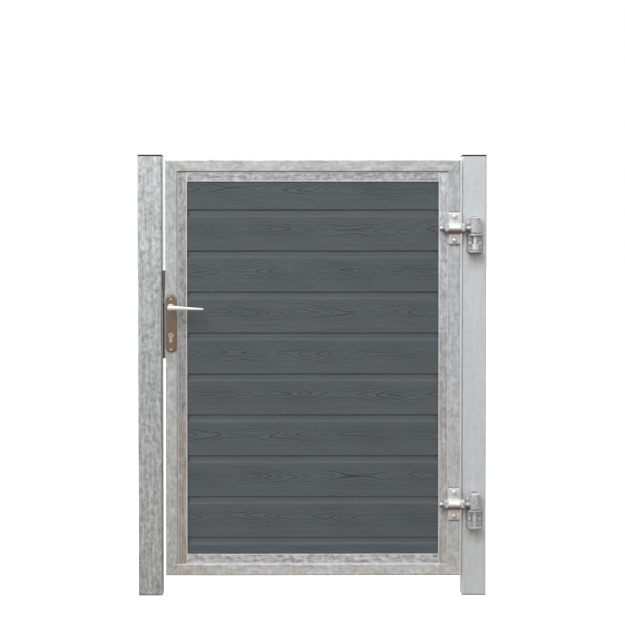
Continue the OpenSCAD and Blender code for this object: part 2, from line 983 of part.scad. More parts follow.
latch_post();
hinge_post();
post_cap(-1);  // latch_post_cap
post_cap(1);  // hinge_post_cap
keep_plate();
keep_screws();
hinge_bracket(upper_hinge_z);  // upper_hinge_bracket
hinge_bracket(lower_hinge_z);  // lower_hinge_bracket
hinge_pin(upper_hinge_z, true);  // upper_hinge_pin
hinge_pin(lower_hinge_z);  // lower_hinge_pin
bracket_bolts(upper_hinge_z);  // upper_bracket_bolts
bracket_bolts(lower_hinge_z);  // lower_bracket_bolts
latch_stile();
hinge_stile();
top_rail();
bottom_rail();
left_channel();
right_channel();
top_channel();
bottom_channel();
channel_screws();
for (i = [1:plank_count])
    plank(i);
saddle(upper_hinge_z);  // upper_saddle
saddle(lower_hinge_z);  // lower_saddle
saddle_bolts(upper_hinge_z);  // upper_saddle_bolts
saddle_bolts(lower_hinge_z);  // lower_saddle_bolts
eyebolt(upper_hinge_z);  // upper_eyebolt
eyebolt(lower_hinge_z);  // lower_eyebolt
eyebolt_nuts(upper_hinge_z);  // upper_eyebolt_nuts
eyebolt_nuts(lower_hinge_z);  // lower_eyebolt_nuts
lock_case();
lock_faceplate();
faceplate_screws();
front_backplate();
rear_backplate();
backplate_screws();
profile_cylinder();
cylinder_screw();
lever_spring();
front_lever();
rear_lever();
spindle();
follower();
latch_bolt();
deadbolt();
front_plug();
rear_plug();
lock_cam();
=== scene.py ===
# %% [markdown]
# # A garden gate in surfaces and finishes
# A galvanised frame filled with ribbed composite planks hangs between two square posts.
# The solid model gives every size and every moving body, and this script gives the gate
# its looks: pressed wood grain, mottled zinc, threads, welds and a satin lever.
# Pieces are worked out as numpy grids, so each one is a formula and not a sculpture.

# %% Load the frame
import math

import bmesh
import bpy
import numpy as np
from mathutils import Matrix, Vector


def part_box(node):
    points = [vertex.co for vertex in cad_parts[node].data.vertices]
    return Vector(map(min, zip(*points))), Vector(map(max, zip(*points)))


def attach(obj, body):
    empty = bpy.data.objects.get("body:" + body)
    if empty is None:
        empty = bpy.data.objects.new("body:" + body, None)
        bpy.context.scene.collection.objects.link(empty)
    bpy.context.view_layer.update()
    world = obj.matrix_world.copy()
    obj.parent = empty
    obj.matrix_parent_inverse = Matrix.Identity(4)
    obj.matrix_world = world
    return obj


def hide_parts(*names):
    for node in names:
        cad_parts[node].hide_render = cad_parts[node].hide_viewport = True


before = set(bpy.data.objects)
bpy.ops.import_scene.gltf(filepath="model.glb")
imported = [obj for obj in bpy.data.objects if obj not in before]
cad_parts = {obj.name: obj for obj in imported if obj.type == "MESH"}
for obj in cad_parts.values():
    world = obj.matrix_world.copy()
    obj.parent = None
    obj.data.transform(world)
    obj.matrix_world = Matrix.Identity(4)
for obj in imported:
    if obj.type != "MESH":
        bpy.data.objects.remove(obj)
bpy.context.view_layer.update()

# %% [markdown]
# ## The camera
# The gate is seen from the side that it opens to, a little left of its middle and from
# shoulder height. A long lens six metres away keeps the posts parallel, as a person who
# wants to show a product would. A small shift centres the gate without tilting it.

# %% Camera
eye = bpy.data.cameras.new("long_lens")
eye.lens = 103.96
eye.sensor_width = 36
eye.shift_y = -0.0479
viewer = bpy.data.objects.new("viewer", eye)
viewer.location = (-0.040, -6.040, 1.200)
viewer.rotation_euler = (math.radians(90 - 1.476), 0, math.radians(-0.391))
bpy.context.scene.collection.objects.link(viewer)
bpy.context.scene.camera = viewer
bpy.context.scene.view_settings.view_transform = "Standard"
print("camera:", eye.lens, "mm at", tuple(viewer.location))

# %% [markdown]
# ## Light and floor
# Zinc shows what it mirrors, so the surroundings matter as much as the lamps: an overcast
# sky, brighter overhead, to the left and behind, over dark brown earth. The earth turns
# the undersides of the hinges brown, and the light behind lines the narrow hinge gap. The
# pale floor is only a backdrop, so it is hidden from the light that bounces onto the gate,
# and it glows a little to stay nearly white.

# %% Sky
sky = bpy.data.worlds.new("overcast")
bpy.context.scene.world = sky
sky.use_nodes = True
tree = sky.node_tree
direction = tree.nodes.new("ShaderNodeTexCoord").outputs["Generated"]
split = tree.nodes.new("ShaderNodeSeparateXYZ")
tree.links.new(direction, split.inputs[0])
height = tree.nodes.new("ShaderNodeMapRange")
height.inputs["From Min"].default_value = -1
tree.links.new(split.outputs["Z"], height.inputs["Value"])
cloud = tree.nodes.new("ShaderNodeValToRGB")
tree.links.new(height.outputs[0], cloud.inputs[0])
stops = cloud.color_ramp.elements
stops[0].color = (0.16, 0.13, 0.105, 1)
stops[1].color = (1.0, 1.0, 1.0, 1)
for place, colour in ((0.44, (0.22, 0.19, 0.16, 1)), (0.49, (0.40, 0.39, 0.38, 1)),
                      (0.58, (0.62, 0.63, 0.64, 1)), (0.8, (0.95, 0.95, 0.95, 1))):
    stops.new(place).color = colour
leftward = tree.nodes.new("ShaderNodeMapRange")
leftward.inputs["From Min"].default_value = -1
leftward.inputs["To Min"].default_value = 2.0
leftward.inputs["To Max"].default_value = 1.25
tree.links.new(split.outputs["X"], leftward.inputs["Value"])
behind = tree.nodes.new("ShaderNodeMapRange")
behind.inputs["From Min"].default_value = 0.3
behind.inputs["To Max"].default_value = 1.6
tree.links.new(split.outputs["Y"], behind.inputs["Value"])
glow = tree.nodes.new("ShaderNodeMath")
tree.links.new(leftward.outputs[0], glow.inputs[0])
tree.links.new(behind.outputs[0], glow.inputs[1])
tree.links.new(cloud.outputs[0], tree.nodes["Background"].inputs["Color"])
tree.links.new(glow.outputs[0], tree.nodes["Background"].inputs["Strength"])
backdrop = tree.nodes.new("ShaderNodeBackground")
backdrop.inputs["Color"].default_value = (1, 1, 1, 1)
chooser = tree.nodes.new("ShaderNodeMixShader")
path = tree.nodes.new("ShaderNodeLightPath")
tree.links.new(path.outputs["Is Camera Ray"], chooser.inputs[0])
tree.links.new(tree.nodes["Background"].outputs[0], chooser.inputs[1])
tree.links.new(backdrop.outputs[0], chooser.inputs[2])
tree.links.new(chooser.outputs[0], tree.nodes["World Output"].inputs[0])
print("sky:", len(stops), "colours from earth to zenith")

# %% Lamp and floor
lamp = bpy.data.lights.new("softbox", "AREA")
lamp.energy = 200
lamp.size = 2.6
softbox = bpy.data.objects.new("softbox", lamp)
softbox.location = (-2.4, -3.8, 5.0)
softbox.rotation_euler = (math.radians(42), 0, math.radians(-32))
bpy.context.scene.collection.objects.link(softbox)

pale = bpy.data.materials.new("pale_floor")
pale.use_nodes = True
chalk = pale.node_tree.nodes["Principled BSDF"].inputs
chalk["Base Color"].default_value = (0.75, 0.75, 0.75, 1)
chalk["Roughness"].default_value = 0.9
chalk["Emission Color"].default_value = (1, 1, 1, 1)
chalk["Emission Strength"].default_value = 0.42
ground = bpy.data.meshes.new("floor")
reach = 60
corners = [(-reach, -reach, 0), (reach, -reach, 0), (reach, reach, 0), (-reach, reach, 0)]
ground.from_pydata(corners, [], [(0, 1, 2, 3)])
ground.materials.append(pale)
floor = bpy.data.objects.new("floor", ground)
floor.visible_diffuse = False
floor.visible_glossy = False
bpy.context.scene.collection.objects.link(floor)
print("floor:", 2 * reach, "m square, lamp", lamp.energy, "W")

# %% [markdown]
# ## A small kit for finishes
# A finish is a node tree. Writing each link by hand hides the idea, so this class has one
# short method for each thing a maker would say: patches of a length, flecks, a blend, a
# range. Lengths are in metres along X, Y and Z, so a run in the zinc is simply a pattern
# that is long in Z and short in X and Y.

# %% The finish class
def paint(red, green, blue):
    """A colour given as 0-255 display numbers, as the linear colour that a shader takes."""
    share = np.array([red, green, blue]) / 255
    linear = np.where(share <= 0.04045, share / 12.92, ((share + 0.055) / 1.055) ** 2.4)
    return (*linear.tolist(), 1.0)


class Finish:
    """A material in the making; each method adds one node and hands back its output."""

    made = []

    def __init__(self, name, fixed):
        self.made.append(name)
        self.material = bpy.data.materials.new(name)
        self.material.use_nodes = True
        self.tree = self.material.node_tree
        self.shader = self.tree.nodes["Principled BSDF"]
        for socket, value in fixed.items():
            self.shader.inputs[socket].default_value = value
        self.place = self.tree.nodes.new("ShaderNodeTexCoord").outputs["Object"]

    def add(self, kind, inputs, **settings):
        """One node; each input is a value or another node's output."""
        node = self.tree.nodes.new(kind)
        for key, value in settings.items():
            setattr(node, key, value)
        for key, value in inputs.items():
            if isinstance(value, bpy.types.NodeSocket):
                self.tree.links.new(value, node.inputs[key])
            else:
                node.inputs[key].default_value = value
        return node

    def along(self, lengths, shift=0.0):
        """The place on the piece, scaled so that lengths become 1 and moved by shift."""
        scale = [1 / length for length in lengths]
        moved = {"Vector": self.place, "Scale": scale, "Location": (shift, shift, shift)}
        return self.add("ShaderNodeMapping", moved).outputs[0]

    def patches(self, lengths, detail=3.0, warp=0.0, shift=0.0):
        """Cloudy noise, 0 to 1, with patches about as long as lengths."""
        inputs = {"Vector": self.along(lengths, shift), "Scale": 1.0,
                  "Detail": detail, "Roughness": 0.62, "Distortion": warp}
        return self.add("ShaderNodeTexNoise", inputs).outputs[0]

    def flecks(self, lengths):
        """Cells of about these lengths, each with one flat value of its own."""
        inputs = {"Vector": self.along(lengths), "Scale": 1.0}
        return self.add("ShaderNodeTexVoronoi", inputs).outputs["Color"]

    def attribute(self, name):
        """A value that the mesh carries at each point."""
        return self.add("ShaderNodeAttribute", {}, attribute_name=name).outputs["Fac"]

    def height(self):
        """The height above the ground, in metres."""
        return self.add("ShaderNodeSeparateXYZ", {0: self.place}).outputs["Z"]

    def spot(self, centre, reach):
        """1 at centre, falling to 0 on the ellipsoid with half axes reach."""
        inputs = {"Vector": self.place, "Location": centre, "Scale": reach}
        near = self.add("ShaderNodeMapping", inputs, vector_type="TEXTURE").outputs[0]
        return self.add("ShaderNodeTexGradient", {0: near}, gradient_type="SPHERICAL").outputs[1]

    def crevice(self, reach):
        """1 where other surfaces close in within reach, 0 in the open."""
        node = self.add("ShaderNodeAmbientOcclusion", {"Distance": reach}, samples=6)
        return self.span(node.outputs["AO"], 0.97, 0.5)

    def rim(self, axis, places, width):
        """1 on two lines at places on an axis, 0 beyond width on either side of them."""
        along = self.add("ShaderNodeSeparateXYZ", {0: self.place}).outputs[axis]
        apart = [self.sum(self.sum(along, at, "SUBTRACT"), 0, "ABSOLUTE") for at in places]
        lines = [self.span(distance, width, width / 2) for distance in apart]
        return self.sum(lines[0], lines[1], clamp=True)

    def underside(self):
        """1 where the surface faces down, 0 where it faces up or out."""
        normal = self.add("ShaderNodeNewGeometry", {}).outputs["Normal"]
        down = self.add("ShaderNodeSeparateXYZ", {0: normal}).outputs["Z"]
        return self.span(down, 0.05, -0.6)

    def sum(self, a, b, kind="ADD", clamp=False):
        """a and b added, or combined as kind says."""
        return self.add("ShaderNodeMath", {0: a, 1: b}, operation=kind, use_clamp=clamp).outputs[0]

    def span(self, value, low, high, to_low=0.0, to_high=1.0):
        """value from low..high carried over to to_low..to_high, and held there beyond."""
        inputs = {"Value": value, "From Min": low, "From Max": high,
                  "To Min": to_low, "To Max": to_high}
        return self.add("ShaderNodeMapRange", inputs).outputs[0]

    def blend(self, share, a, b):
        """Colour a where share is 0, colour b where it is 1."""
        inputs = {0: share, 6: a, 7: b}
        return self.add("ShaderNodeMix", inputs, data_type="RGBA").outputs[2]

    def times(self, colour, share):
        """A colour multiplied by share."""
        inputs = {0: colour[:3] if isinstance(colour, tuple) else colour, "Scale": share}
        return self.add("ShaderNodeVectorMath", inputs, operation="SCALE").outputs[0]

    def finish(self, colour, rough, relief=None, depth=0.0003):
        """Joins the layers to the shader; depth is the height of the relief, in metres."""
        self.tree.links.new(colour, self.shader.inputs["Base Color"])
        self.tree.links.new(rough, self.shader.inputs["Roughness"])
        if relief is not None:
            inputs = {"Height": relief, "Distance": depth, "Strength": 1.0}
            bump = self.add("ShaderNodeBump", inputs)
            self.tree.links.new(bump.outputs[0], self.shader.inputs["Normal"])
        return self.material


print("grey 128 is", round(paint(128, 128, 128)[0], 3), "in linear light")

# %% [markdown]
# ## Hot-dip zinc
# A dipped tube is never one grey. Zinc runs down it as it leaves the bath, cools in dull
# patches, and shows a faint crystal spangle; later, rain leaves a warm tint low down. An
# image texture would be quick, but it would repeat and tie the gate to one picture, so
# the same layers are stacked as noise, each with its own length.

# %% Zinc finishes
mid_height, top_height = 0.75, 1.47
half_sheet = 0.0014
# The three colours after the rust stain are painted light: shade in crevices, the brown reflection
# of the earth on faces turned down, and highlights along sheet edges.
rust_tint, crevice_shade_tint = paint(152, 139, 112), paint(66, 62, 60)
earth_reflection_tint, painted_rim_highlight = paint(120, 94, 72), paint(240, 240, 239)


def dipped(name, grey, patch, run, sizes, light_drift=(1.0, 1.0, 1.0), stain=0.0, spots=(),
           rough=0.5, metal=0.35, spangle=0.05, shift=0.0, crevice_shade=0.85, lit_rims=None,
           earth_reflection=0.4):
    """Colour is grey x (1 + weighted layers) x drift, a painted light that changes with height
    (ground, middle, top); then tinted by stain near the ground and at spots (centre, reach,
    strength), darkened by painted shade in crevices and tinted brown by painted reflection
    of the earth on faces turned down. sizes holds the lengths of the patches, the runs and
    the crystals. rims names the edges of folded sheet, where a highlight is painted on as
    a bright line: an axis and two places on it."""
    f = Finish(name, {"Metallic": metal, "Specular IOR Level": 0.4})
    cloud = f.span(f.patches(sizes[0], 6.0, 0.5, shift), 0.3, 0.7, -patch, patch)
    streak = f.span(f.patches(sizes[1], 4.0, 0.3, shift + 7), 0.3, 0.7, -run, run)
    crystal = f.span(f.flecks(sizes[2]), 0.0, 1.0, -spangle, spangle)
    layers = f.sum(f.sum(f.sum(cloud, streak), crystal), 1.0)
    z = f.height()
    # Painted light: brighter or darker with height, standing in for light that falls unevenly from
    # ground to top.
    painted_light_climb = f.sum(f.span(z, 0.0, mid_height, light_drift[0], light_drift[1]),
                  f.span(z, mid_height, top_height, 0, light_drift[2] - light_drift[1]))
    colour = f.times(grey, f.sum(layers, painted_light_climb, "MULTIPLY"))
    wet = f.span(f.patches((0.012, 0.012, 0.07), 5.0, 0.6, shift + 3), 0.35, 0.65)
    rusty = f.span(z, 0.0, 0.9, stain, stain * 0.1)
    for centre, reach, strength in spots:
        rusty = f.sum(rusty, f.span(f.spot(centre, reach), 0.0, 0.7, 0.0, strength))
    tint = f.sum(f.sum(wet, 0.35), rusty, "MULTIPLY", clamp=True)
    colour = f.blend(tint, colour, rust_tint)
    # Painted shade: crevices, where other surfaces close in, are darkened.
    colour = f.blend(f.sum(f.crevice(0.008), crevice_shade, "MULTIPLY"), colour, crevice_shade_tint)
    # Painted highlight: a bright line along each sheet edge, where light catches it.
    if lit_rims:
        colour = f.blend(f.sum(f.rim(*lit_rims, 0.0022), 0.5, "MULTIPLY"), colour, painted_rim_highlight)
    # Painted reflection: faces turned down take the brown of the earth below them.
    colour = f.blend(f.sum(f.underside(), earth_reflection, "MULTIPLY"), colour, earth_reflection_tint)
    dull = f.patches((0.03, 0.03, 0.06), 3.0, 0.2, shift)
    sheen = f.span(dull, 0.3, 0.7, rough - 0.1, rough + 0.12)
    fine = f.sum(f.patches((0.004, 0.004, 0.006), 2.0), f.span(cloud, -1, 1, 0, 2))
    return f.finish(colour, sheen, fine, 0.00012)


tall = ((0.013, 0.013, 0.019), (0.007, 0.007, 0.11), (0.004, 0.004, 0.006))
wide = ((0.026, 0.014, 0.014), (0.14, 0.010, 0.010), (0.006, 0.004, 0.004))
marble = ((0.020, 0.014, 0.012), (0.030, 0.01, 0.010), (0.005, 0.004, 0.004))
drips = []
for where in ("lower", "upper"):
    low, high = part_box(f"{where}_hinge_bracket")
    centre = (low + high) / 2
    drips.append(((centre.x, -0.04, centre.z - 0.045), (0.035, 0.05, 0.055), 0.45))
plate_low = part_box("front_backplate")[0]
plate_spot = [((plate_low.x + 0.018, -0.048, plate_low.z), (0.03, 0.05, 0.05), 0.4)]
corner_spot = [((-0.42, -0.048, 0.09), (0.16, 0.05, 0.05), 0.3)]


def edges(name, axis):
    """The axis and the middles of the two edge lines of a folded sheet on it."""
    low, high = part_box(name)
    number = "XYZ".index(axis)
    return axis, (low[number] + half_sheet, high[number] - half_sheet)


# Per part: the tuple of three is the painted brightening with height, and the keyword numbers set
# the strength of stain, painted shade in crevices, painted highlights on sheet edges and painted
# earth reflection.
latch_post_zinc = dipped("latch_post_zinc", paint(167, 170, 172), 0.40, 0.24, tall,
                         (0.93, 1.0, 1.24), stain=0.05)
hinge_post_zinc = dipped("hinge_post_zinc", paint(199, 204, 208), 0.065, 0.05, tall,
                         (0.99, 1.0, 1.04), 0.06, drips, rough=0.42, spangle=0.02, shift=11.0)
latch_stile_zinc = dipped("latch_stile_zinc", paint(175, 178, 180), 0.26, 0.12, tall,
                          (0.94, 1.0, 1.04), 0.10, plate_spot, shift=5.0)
hinge_stile_zinc = dipped("hinge_stile_zinc", paint(182, 185, 189), 0.26, 0.12, tall,
                          (0.985, 1.0, 0.935), 0.12, shift=9.0)
rail_zinc = dipped("rail_zinc", paint(186, 188, 189), 0.28, 0.06, wide,
                   (1.09, 1.0, 0.95), 0.12, corner_spot, shift=17.0)
left_channel_zinc = dipped("left_channel_zinc", paint(141, 142, 145), 0.40, 0.30, tall,
                           (1.55, 1.0, 1.5), 0.75, shift=23.0, crevice_shade=0.2,
                           lit_rims=edges("left_channel", "X"))
right_channel_zinc = dipped("right_channel_zinc", paint(165, 169, 175), 0.36, 0.24, tall,
                            (1.30, 1.0, 1.5), 0.55, shift=27.0, crevice_shade=0.2,
                            lit_rims=edges("right_channel", "X"))
top_channel_zinc = dipped("top_channel_zinc", paint(173, 175, 181), 0.52, 0.26, marble,
                          (1.0, 1.0, 0.93), shift=31.0, crevice_shade=0.2, lit_rims=edges("top_channel", "Z"))
low_channel_zinc = dipped("low_channel_zinc", paint(174, 176, 182), 0.52, 0.26, marble,
                          (1.07, 1.0, 1.0), 0.05, shift=37.0, crevice_shade=0.2,
                          lit_rims=edges("bottom_channel", "Z"))
grains = ((0.010, 0.010, 0.010), (0.02, 0.02, 0.006), (0.003, 0.003, 0.003))
hinge_zinc = dipped("hinge_zinc", paint(219, 219, 218), 0.18, 0.08, grains, rough=0.4,
                    metal=0.5, shift=41.0, crevice_shade=0.45, earth_reflection=0.8)
dull_zinc = dipped("dull_zinc", paint(194, 196, 200), 0.36, 0.16, grains, rough=0.42,
                   metal=0.6, shift=47.0, crevice_shade=0.6, earth_reflection=0.6)
print("zinc finishes:", len(Finish.made))

# %% [markdown]
# ## The other finishes
# Composite plank is wood flour in plastic: matt, with tiny fibres along its length and a
# grain pressed into its faces. The grain's lines come from the mesh as an attribute, and
# the shader darkens them. Stainless parts are brushed in one direction, the caps are
# moulded plastic, and the cylinder is nickel-plated brass.

# %% Composite, plastic and lock finishes
def composite():
    """Anthracite, darker in the grain's valleys, paler where the face isn't pressed and
    palest down in the joint, a painted light that lifts the shade falling there."""
    f = Finish("anthracite_composite", {"Specular IOR Level": 0.32})
    grain, pressed = f.attribute("grain"), f.attribute("pressed")
    fibre = f.patches((0.05, 0.02, 0.0018), 3.0, 0.1)
    band = f.span(f.patches((0.30, 0.05, 0.007), 3.0, 0.2), 0.3, 0.7, 0.91, 1.09)
    cloud = f.span(f.patches((0.22, 0.22, 0.05), 3.0, 0.4), 0.25, 0.75, 0.95, 1.05)
    face = f.blend(f.span(fibre, 0.3, 0.7), paint(71, 77, 80), paint(85, 91, 95))
    face = f.blend(f.sum(grain, 0.9, "MULTIPLY", clamp=True), face, paint(38, 44, 48))
    colour = f.blend(pressed, paint(71, 77, 81), face)
    # Painted light: the joint is lightened against the shade that falls into it.
    colour = f.blend(f.span(pressed, 0.0, -1.0), colour, paint(110, 117, 122))
    colour = f.times(colour, f.sum(band, cloud, "MULTIPLY"))
    rough = f.span(fibre, 0.3, 0.7, 0.62, 0.74)
    relief = f.sum(fibre, f.span(pressed, 0.0, 1.0, 0.1, 1.0), "MULTIPLY")
    return f.finish(colour, rough, relief, 0.00025)


def moulded():
    """Black plastic with a fine spark-eroded texture."""
    f = Finish("black_cap_plastic", {"Specular IOR Level": 0.12})
    pits = f.patches((0.0012, 0.0012, 0.0012), 2.0)
    dust = f.patches((0.03, 0.03, 0.02), 3.0, 0.3)
    colour = f.blend(f.span(dust, 0.35, 0.75), paint(6, 6, 7), paint(14, 14, 14))
    return f.finish(colour, f.span(pits, 0.3, 0.7, 0.6, 0.75), pits, 0.0001)


def brushed(name, dark, light, lines, metal=0.9, rough=0.3, depth=0.00004, blush=None):
    """Metal with hairline scratches along the longest of the three lengths in lines."""
    f = Finish(name, {"Metallic": metal})
    hair = f.patches(lines, 2.0)
    cloud = f.patches((0.02, 0.02, 0.04), 3.0, 0.5)
    colour = f.blend(f.span(hair, 0.3, 0.7), dark, light)
    if blush is not None:
        colour = f.blend(f.span(cloud, 0.35, 0.75, 0.0, 0.6), colour, blush)
    return f.finish(colour, f.span(cloud, 0.3, 0.7, rough - 0.06, rough + 0.08), hair, depth)


plank_finish = composite()
cap_finish = moulded()
keep_finish = brushed("keep_steel", paint(146, 144, 140), paint(172, 170, 166),
                      (0.002, 0.002, 0.04), metal=0.7, rough=0.4, depth=0.00002)
plate_finish = brushed("polished_plate", paint(144, 125, 109), paint(158, 140, 123),
                       (0.003, 0.003, 0.08), rough=0.2, depth=0.00001, blush=paint(124, 118, 102))
lever_finish = brushed("satin_lever", paint(214, 212, 207), paint(230, 228, 224),
                       (0.06, 0.002, 0.002), metal=0.55, rough=0.36, depth=0.00001)
lock_finish = brushed("lock_steel", paint(118, 118, 118), paint(140, 140, 139),
                      (0.01, 0.0008, 0.0008), rough=0.4)
cylinder_finish = brushed("nickel_brass", paint(214, 203, 184), paint(240, 232, 218),
                          (0.002, 0.01, 0.002), rough=0.22, depth=0.00001,
                          blush=paint(186, 168, 138))
bolt_finish = brushed("plated_fastener", paint(198, 199, 196), paint(214, 214, 211),
                      (0.002, 0.002, 0.006), metal=0.55, rough=0.45, depth=0.00002,
                      blush=paint(196, 194, 186))
print("finishes in all:", len(Finish.made))

# %% [markdown]
# ## Finishes on the solid model's own nodes
# Straight tubes and folded channels are exactly what the solid model says, so they stay
# and only take a finish. Lock pieces that hide inside the stile stay too.

# %% Dress the nodes that stay
dressing = {
    latch_post_zinc: ["latch_post"],
    hinge_post_zinc: ["hinge_post"],
    latch_stile_zinc: ["latch_stile"],
    hinge_stile_zinc: ["hinge_stile"],
    rail_zinc: ["top_rail", "bottom_rail"],
    left_channel_zinc: ["left_channel"],
    right_channel_zinc: ["right_channel"],
    top_channel_zinc: ["top_channel"],
    low_channel_zinc: ["bottom_channel"],
    bolt_finish: ["channel_screws", "keep_screws", "faceplate_screws", "cylinder_screw"],
    cylinder_finish: ["backplate_screws"],
    lock_finish: ["lock_case", "latch_bolt", "deadbolt", "lock_cam", "follower", "spindle",
                  "lever_spring"],
}


def dress(item, finish):
    """Gives every face of an object one finish."""
    item.data.materials.clear()
    item.data.materials.append(finish)


for finish, names in dressing.items():
    for name in names:
        dress(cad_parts[name], finish)
print("dressed nodes:", sum(len(names) for names in dressing.values()))

# %% [markdown]
# ## Building with grids
# Every new piece is a grid of points: one direction runs along the piece, the other round
# its outline. The faces of such a grid follow from its size alone, so they are made as
# one array. A closed piece must have its faces pointing outwards; its signed volume, the
# sum of all corner pyramids from the origin, is negative when they don't.

# %% Grid helpers
mm = 0.001


def weave(rows, columns, loop_rows=False, loop_columns=True):
    """Quads between neighbours of a rows x columns grid, closed where loop_ says so."""
    r = np.arange(rows if loop_rows else rows - 1)[:, None]
    c = np.arange(columns if loop_columns else columns - 1)[None, :]
    r2, c2 = (r + 1) % rows, (c + 1) % columns
    corners = [r * columns + c, r * columns + c2, r2 * columns + c2, r2 * columns + c]
    return np.stack(np.broadcast_arrays(*corners), -1).reshape(-1, 4)


def closed(grid, loop_rows=False):
    """A grid (rows, columns, 3) as (points, faces), capped at both ends, facing outwards."""
    rows, columns = grid.shape[:2]
    points = grid.reshape(-1, 3)
    faces = weave(rows, columns, loop_rows)
    first, last = np.arange(columns), np.arange(columns) + (rows - 1) * columns
    a, b, c, d = (points[faces[:, k]] for k in range(4))
    volume = np.einsum("ij,ij->", a, np.cross(b, c)) + np.einsum("ij,ij->", a, np.cross(c, d))
    if not loop_rows:
        for ring in (points[first[::-1]], points[last]):
            volume += np.einsum("j,ij->", ring[0], np.cross(ring[1:-1], ring[2:]))
    caps = [] if loop_rows else [first[::-1].tolist(), last.tolist()]
    quads = faces.tolist()
    if volume < 0:
        quads = faces[:, ::-1].tolist()
        caps = [cap[::-1] for cap in caps]
    return points, quads + caps


def piece(name, parts, body, finish, stands_for=(), crease=35):
    """One object from several (points, faces) parts, riding on a body."""
    points, faces, start = [], [], 0
    for part_points, part_faces in parts:
        points.append(part_points)
        faces += [[v + start for v in face] for face in part_faces]
        start += len(part_points)
    mesh = bpy.data.meshes.new(name)
    mesh.from_pydata(np.concatenate(points).tolist(), [], faces)
    mesh.shade_smooth()
    mesh.set_sharp_from_angle(angle=math.radians(crease))
    made = bpy.data.objects.new(name, mesh)
    bpy.context.scene.collection.objects.link(made)
    dress(made, finish)
    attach(made, body)
    if stands_for:
        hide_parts(*stands_for)
    return made


print("a 3 x 4 tube has", len(weave(3, 4)), "faces")

# %% [markdown]
# ## The planks' grain
# The planks carry a pressed oak pattern: nested arrowheads that point at one place, with
# straighter lines below. Cut through a tree, rings look like this where the cut grazes
# them. So the pattern is taken from that: the lines are where the distance from a hidden
# axis passes each ring, and the axis lies deepest at one place along the plank. Odd and
# even planks have that place at different ends, as boards cut from one long length do.

# %% Grain formula
spacing = 4.0


def ring_radius(x, v, number, side):
    """Distance from the hidden axis, in mm: (|v - v0|^p + d^p)^(1/p) with p = 1.5, which
    points the arrowheads; d falls away from the figure's centre, sines wander both."""
    seed = number * 1.7 + side * 4.1
    centre = 140.0 if number % 2 else -236.0
    v0 = 68 + 3.0 * np.sin(x / 105 + seed) + 1.6 * np.sin(x / 39 + 2.3 * seed)
    d = 40 - 0.085 * np.sqrt((x - centre) ** 2 + 40**2)
    d = np.where(d > 0, d, 0.3 * -d)
    wide = np.abs(v - v0) * (0.85 + 0.12 * np.sin(x / 160 + seed))
    r = (wide**1.5 + d**1.5) ** (1 / 1.5)
    return r + 1.1 * np.sin(x / 47 + v / 17 + seed) + 0.6 * np.sin(x / 17 - v / 8 + 2 * seed)


def oak(x, v, number, side):
    """Depth of the grain, 0 to 1, at x along a plank and v up its face, in mm: a soft line
    at every ring. A line's distance is divided by the slope of the radius to the power
    0.5, so that it stays thin where the rings lie flat, at the arrowheads."""
    r = ring_radius(x, v, number, side)
    along = (ring_radius(x + 1, v, number, side) - ring_radius(x - 1, v, number, side)) / 2
    upward = (ring_radius(x, v + 1, number, side) - ring_radius(x, v - 1, number, side)) / 2
    slope = np.sqrt(along**2 + upward**2) + 0.02
    ring = r / spacing
    apart = np.abs(ring - np.round(ring)) * spacing / slope**0.5
    seed = number * 1.7 + side * 4.1
    weight = 0.78 + 0.22 * np.sin(2.4 * np.round(ring) + seed)
    focus = 0.28 + 0.72 * np.exp(-(((v - 66) / 28) ** 2))
    patchy = 0.75 + 0.25 * np.sin(x / 43 + v / 31 + 3 * seed)
    return np.exp(-((apart / 1.1) ** 2)) * weight * focus * patchy


sample = oak(np.linspace(-440, 440, 50)[:, None], np.linspace(0, 110, 50)[None, :], 3, 0)
print("grain: mean depth", round(float(sample.mean()), 2), "deepest", round(float(sample.max()), 2))

# %% [markdown]
# ## The planks
# A plank is one outline, grooved below, coved and tongued above, pushed along X. The
# outline has close points on the flat faces, where the grain needs them, and few
# elsewhere. Each face point then sinks by its grain depth, a third of a millimetre.

# %% Plank outline
pitch = (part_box("plank_3")[0].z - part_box("plank_2")[0].z) / mm
half_t = (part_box("plank_2")[1].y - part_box("plank_2")[0].y) / 2 / mm
cove_depth, cove_height, shadow = 8.0, 21.0, 4.0
groove_depth, tongue_height = 11.0, 9.5
flat_top = pitch - shadow - cove_height


def half_outline(rows, cut_low, cut_high):
    """One side of a plank from groove to tongue: distance from the middle, height, and 1
    on the pressed face, 0 on the smooth cove or -1 down in the joint, which the finish
    paints lighter as painted light. The cove is a curve drawn by three points: it leaves
    the face at 50 degrees and ends nearly upright."""
    bottom = [(half_t, cut_low, 0)] if cut_low else [
        (half_t - cove_depth + 0.3, groove_depth, -1), (half_t - cove_depth + 0.3, 0.0, -1),
        (half_t - 0.8, 0.0, -1), (half_t - 0.25, 0.2, 0)]
    rise = np.linspace(max(cut_low, 0.8), flat_top, rows)
    face = np.stack([np.full(rows, half_t), rise, np.ones(rows)], -1)
    t = np.linspace(0, 1, 200)
    pull, end = 2 * t * (1 - t), t * t
    curve = np.stack([half_t - (0.85 * pull + end) * cove_depth,
                      flat_top + (0.27 * pull + end) * cove_height, 0 * t], -1)
    curve = curve[curve[:, 1] <= (cut_high or pitch)]
    cove = curve[np.linspace(6, len(curve) - 1, 13).astype(int)]
    # The upper cove lies in the shade of the plank above; its mark fades to -1 there, so that
    # painted light lightens it.
    cove[:, 2] = -np.clip((cove[:, 1] - flat_top - 0.6 * cove_height) / (0.4 * cove_height), 0, 1)
    tongue = [] if cut_high else [(half_t - cove_depth, pitch + tongue_height, -1)]
    return np.concatenate([part for part in (bottom, face, cove, tongue) if len(part)])


print("outline points with 90 rows:", len(half_outline(90, 0, 0)))

# %% Planks
front_rows, back_rows, stations = 90, 56, 297
press, smooth_rim, fade = 0.34, 1.5, 2.5


